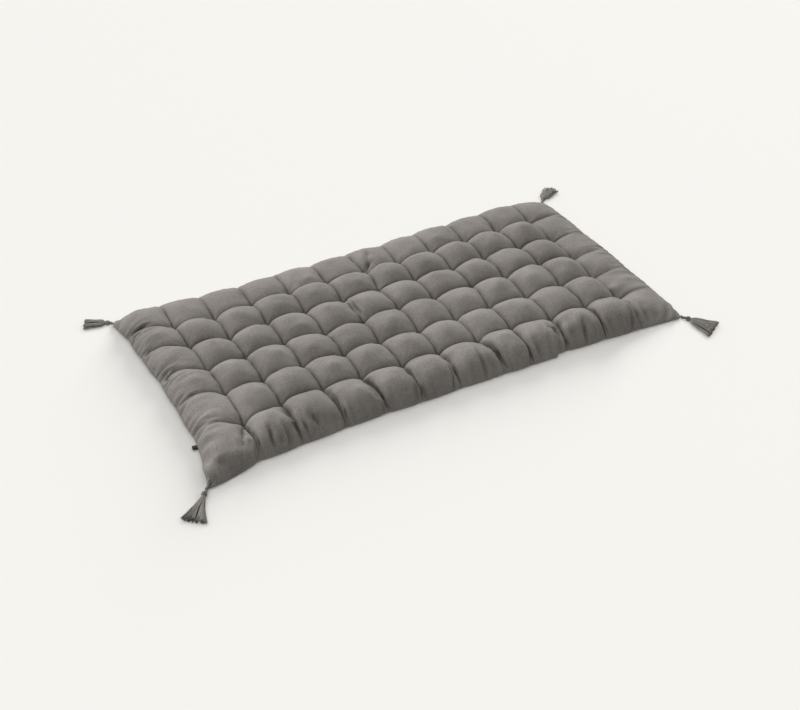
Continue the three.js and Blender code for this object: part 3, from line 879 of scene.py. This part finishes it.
def tassel_line(lie, x):
    """Centre line of a tassel in its own frame: along x from the corner's tip, down to lie on the floor."""
    turn = math.radians(lie["heading"] - lie["cord_heading"])
    y = np.maximum(0, x - (lie["cord"] + KNOT_LENGTH / 2)) * math.tan(turn) * 0.9
    settled = np.clip(x / lie["cord"], 0, 1)
    settled = settled * settled * (3 - 2 * settled)
    return y, SEAM_HEIGHT + (KNOT_RADIUS + 0.4 - SEAM_HEIGHT) * settled


def cord_plies(lie, tip):
    """Two twisted plies, from where they are caught on the corner's ridge to the knot."""
    x = np.linspace(-lie["over"], lie["cord"] + 3.0, 24 + 2 * lie["over"])
    y, z = tassel_line(lie, x)
    heading = math.radians(lie["cord_heading"])
    for n in np.flatnonzero(x < 0):
        spot = (tip[0] + x[n] * math.cos(heading), tip[1] + x[n] * math.sin(heading))
        near = np.exp(-np.sum((top_cloth[..., :2] - spot) ** 2, axis=-1) / 8.0)
        z[n] = max(z[n], np.sum(near * top_cloth[..., 2]) / np.sum(near) + 0.3 * CORD_RADIUS)
    for start in (0.0, math.pi):
        turn = start + 2 * math.pi * x / CORD_TWIST
        ply = 0.5 * CORD_RADIUS
        points = np.column_stack([x, y + ply * np.cos(turn), z + ply * np.sin(turn)])
        yield points, np.full(len(x), 1.05 * ply), CORD_TONE


def wound_knot(lie):
    """The knot: a solid heart, and yarn wound round it in close turns."""
    at = lie["cord"] + KNOT_LENGTH * np.array([-0.05, 0.1, 0.3, 0.5, 0.7, 0.9, 1.05, 1.4, 1.7])
    size = KNOT_RADIUS * np.array([0.3, 0.55, 0.78, 0.84, 0.78, 0.62, 0.52, 0.66, 0.3])
    y, z = tassel_line(lie, at)
    yield np.column_stack([at, y, z]), size, HEART_TONE
    x = lie["cord"] + KNOT_LENGTH * np.linspace(0.06, 0.98, 130)
    y, z = tassel_line(lie, x)
    around = np.interp(x, at, size) + WINDING_STANDS_OUT
    turn = 2 * math.pi * (x - lie["cord"]) / WINDING_PITCH
    wound = np.column_stack([x, y + around * np.cos(turn), z + around * np.sin(turn)])
    yield wound, np.full(len(x), WINDING_RADIUS), WINDING_TONE


def skirt_yarns(lie, chance):
    """The skirt: yarns from inside the knot to the cut ends, gathered in a few locks."""
    number = np.arange(SKIRT_LOCKS)
    lock_out = 0.8 * np.sqrt((number + 0.4) / SKIRT_LOCKS)
    lock_turn = number * GOLDEN_ANGLE
    locks = np.column_stack([lock_out * np.cos(lock_turn), lock_out * np.sin(lock_turn)])
    start = lie["cord"] + KNOT_LENGTH - 1.0
    share = np.linspace(0, 1, 9)
    for n in range(SKIRT_YARNS):
        out = 0.97 * math.sqrt((n + 0.5) / SKIRT_YARNS)
        spot = np.array([out * math.cos(n * GOLDEN_ANGLE), out * math.sin(n * GOLDEN_ANGLE)])
        nearest = np.argmin(np.linalg.norm(locks - spot, axis=1))
        lock = locks[nearest]
        gathered = spot + (0.5 * (lock - spot)) * np.sin(math.pi * np.clip(0.75 * share, 0, 1))[:, None]
        reach = lie["skirt"] + 3.0 - TRIM_SPREAD * chance.random() ** 2
        x = start + share * reach
        spread = share ** lie["flare"]
        half_width = ROOT_RADIUS + (lie["fan"] / 2 - ROOT_RADIUS) * spread
        half_height = ROOT_RADIUS + (SKIRT_HALF_HEIGHT - ROOT_RADIUS) * spread
        middle = KNOT_RADIUS + (SKIRT_HALF_HEIGHT - KNOT_RADIUS) * spread
        y, _ = tassel_line(lie, x)
        phase = chance.random(2) * 2 * math.pi
        ripple = 1.1 * share * np.sin(7.0 * share + phase[0])
        lift = 0.7 * share * np.sin(8.0 * share + phase[1])
        height = np.maximum(middle + half_height * gathered[:, 1] + lift, 1.3 * YARN_RADIUS)
        points = np.column_stack([x, y + half_width * gathered[:, 0] + ripple, height])
        # Painted light: the back tassels' yarns are lightened by the last value of their entry.
        tone = 0.5 * (0.5 + 0.5 * math.sin(2.9 * nearest)) + 0.5 * chance.random() + lie["painted_lightness"]
        yield points, YARN_RADIUS * np.interp(share, [0, 0.2, 0.9, 1], [0.7, 1, 1, 0.8]), tone


TASSEL_DARK = (0.092, 0.085, 0.076, 1.0)
TASSEL_PALE = (0.420, 0.397, 0.357, 1.0)
tassel_yarn, yarn_shader = new_finish("tassel_yarn", 0.9)
yarn_shader.inputs["Specular IOR Level"].default_value = 0.2
yarn_shader.inputs["Sheen Weight"].default_value = 0.2
yarn_place = add_node(tassel_yarn, "ShaderNodeTexCoord").outputs["Object"]
yarn_fuzz = add_node(tassel_yarn, "ShaderNodeTexNoise", inputs={
    "Vector": yarn_place, "Scale": 700.0, "Detail": 3.0}).outputs["Fac"]
# Each strand's tone: its random tone and, on the back tassels, painted light.
strand_tone_and_light = add_node(tassel_yarn, "ShaderNodeAttribute", {"attribute_name": "strand_tone_and_light"}).outputs["Fac"]
yarn_tone = add_node(tassel_yarn, "ShaderNodeMath", {"operation": "MULTIPLY_ADD"}, {
    0: yarn_fuzz, 1: 0.5, 2: strand_tone_and_light}).outputs[0]
yarn_tone = add_node(tassel_yarn, "ShaderNodeMapRange", inputs={
    "Value": yarn_tone, "From Min": 0.1, "From Max": 1.3, "To Min": 0.0, "To Max": 1.0}).outputs["Result"]
yarn_colour = add_node(tassel_yarn, "ShaderNodeMix", {"data_type": "RGBA"}, {
    0: yarn_tone, 6: TASSEL_DARK, 7: TASSEL_PALE}).outputs[2]
tassel_yarn.node_tree.links.new(yarn_colour, yarn_shader.inputs["Base Color"])
yarn_ply = add_node(tassel_yarn, "ShaderNodeBump", inputs={
    "Strength": 0.6, "Distance": 0.0004, "Height": yarn_fuzz})
tassel_yarn.node_tree.links.new(yarn_ply.outputs["Normal"], yarn_shader.inputs["Normal"])

for number, (corner, lie) in enumerate(TASSELS.items()):
    chance = np.random.default_rng(20 + number)
    tip = CORNER_TIP[corner]
    own_frame = [*cord_plies(lie, tip), *wound_knot(lie), *skirt_yarns(lie, chance)]
    heading = math.radians(lie["cord_heading"])
    turned = np.array([
        [math.cos(heading), math.sin(heading), 0],
        [-math.sin(heading), math.cos(heading), 0],
        [0, 0, 1],
    ])
    placed = np.array([tip[0] + MIDDLE_TIE[0], tip[1] + MIDDLE_TIE[1], 0.0])
    strands = [((points @ turned + placed) * MM, radii * MM) for points, radii, _ in own_frame]
    name = "tassel_yarns_" + corner
    mesh = strand_mesh(name, strands, 0)
    tones = np.concatenate([np.full(4 * len(points), tone) for points, _, tone in own_frame])
    shade = mesh.attributes.new("strand_tone_and_light", "FLOAT", "POINT")
    shade.data.foreach_set("value", np.resize(tones, len(mesh.vertices)).astype(np.float32))
    tassel = new_piece(name, mesh, tassel_yarn)
    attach(tassel, "root")
    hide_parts("tassel_" + corner)


# Label
# A small black woven ribbon, folded in two and caught by its cut ends in the left seam near the front
# left corner. It carries nothing.
LABEL_Y = -207.0
LABEL_WIDTH = 10.0
LABEL_REACH = 11.0
RIBBON = 0.8
FOLD_GAP = 1.0
LABEL_TUCK = 2.0
LABEL_CURL = 0.35
RIBBON_DARK = (0.006, 0.006, 0.006, 1.0)
RIBBON_PALE = (0.016, 0.016, 0.016, 1.0)

label_net = bmesh.new()
bmesh.ops.create_grid(label_net, x_segments=36, y_segments=10, size=0.5)
fold_radius = (FOLD_GAP + RIBBON) / 2
straight = LABEL_REACH + LABEL_TUCK - fold_radius - RIBBON / 2
half_run = straight + fold_radius * math.pi / 2
for vert in label_net.verts:
    run = 2 * half_run * vert.co.x
    side = math.copysign(1.0, run)
    if abs(run) >= half_run - straight:
        x, z = LABEL_TUCK - (half_run - abs(run)), side * fold_radius
    else:
        angle = abs(run) / fold_radius
        x = LABEL_TUCK - straight - fold_radius * math.cos(angle)
        z = side * fold_radius * math.sin(angle)
    curl = LABEL_CURL * math.cos(5.0 * vert.co.y) * (LABEL_TUCK - x) / LABEL_REACH
    vert.co = Vector((x, LABEL_WIDTH * vert.co.y, z + curl)) * MM
bmesh.ops.recalc_face_normals(label_net, faces=label_net.faces[:])
bmesh.ops.solidify(label_net, geom=label_net.faces[:], thickness=RIBBON * MM)
bmesh.ops.recalc_face_normals(label_net, faces=label_net.faces[:])
left_seam = top_cloth[0]
label_x, label_z = (np.interp(LABEL_Y, left_seam[:, 1], left_seam[:, axis]) for axis in (0, 2))
beside_label = [LABEL_Y - LABEL_WIDTH, LABEL_Y + LABEL_WIDTH]
seam_veers = np.diff(np.interp(beside_label, left_seam[:, 1], left_seam[:, 0]))
label_turn = -math.atan2(seam_veers[0], 2 * LABEL_WIDTH)
bmesh.ops.rotate(label_net, verts=label_net.verts[:], matrix=Matrix.Rotation(label_turn, 3, "Z"))
bmesh.ops.translate(label_net, verts=label_net.verts[:], vec=Vector((
    label_x + MIDDLE_TIE[0], LABEL_Y + MIDDLE_TIE[1], label_z)) * MM)
label_mesh = bpy.data.meshes.new("label_fold")
label_net.to_mesh(label_mesh)
label_net.free()

ribbon, ribbon_shader = new_finish("black_ribbon", 0.75)
ribbon_place = add_node(ribbon, "ShaderNodeTexCoord").outputs["Object"]
ribbon_ribs = add_node(ribbon, "ShaderNodeTexWave", {"bands_direction": "Y"}, {
    "Vector": ribbon_place, "Scale": 500.0, "Distortion": 0.6}).outputs["Fac"]
ribbon_tone = add_node(ribbon, "ShaderNodeMix", {"data_type": "RGBA"}, {
    0: ribbon_ribs, 6: RIBBON_DARK, 7: RIBBON_PALE}).outputs[2]
ribbon.node_tree.links.new(ribbon_tone, ribbon_shader.inputs["Base Color"])
ribbed = add_node(ribbon, "ShaderNodeBump", inputs={
    "Strength": 0.5, "Distance": 0.0002, "Height": ribbon_ribs})
ribbon.node_tree.links.new(ribbed.outputs["Normal"], ribbon_shader.inputs["Normal"])
label = new_piece("label_fold", label_mesh, ribbon)
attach(label, "root")
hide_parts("label")
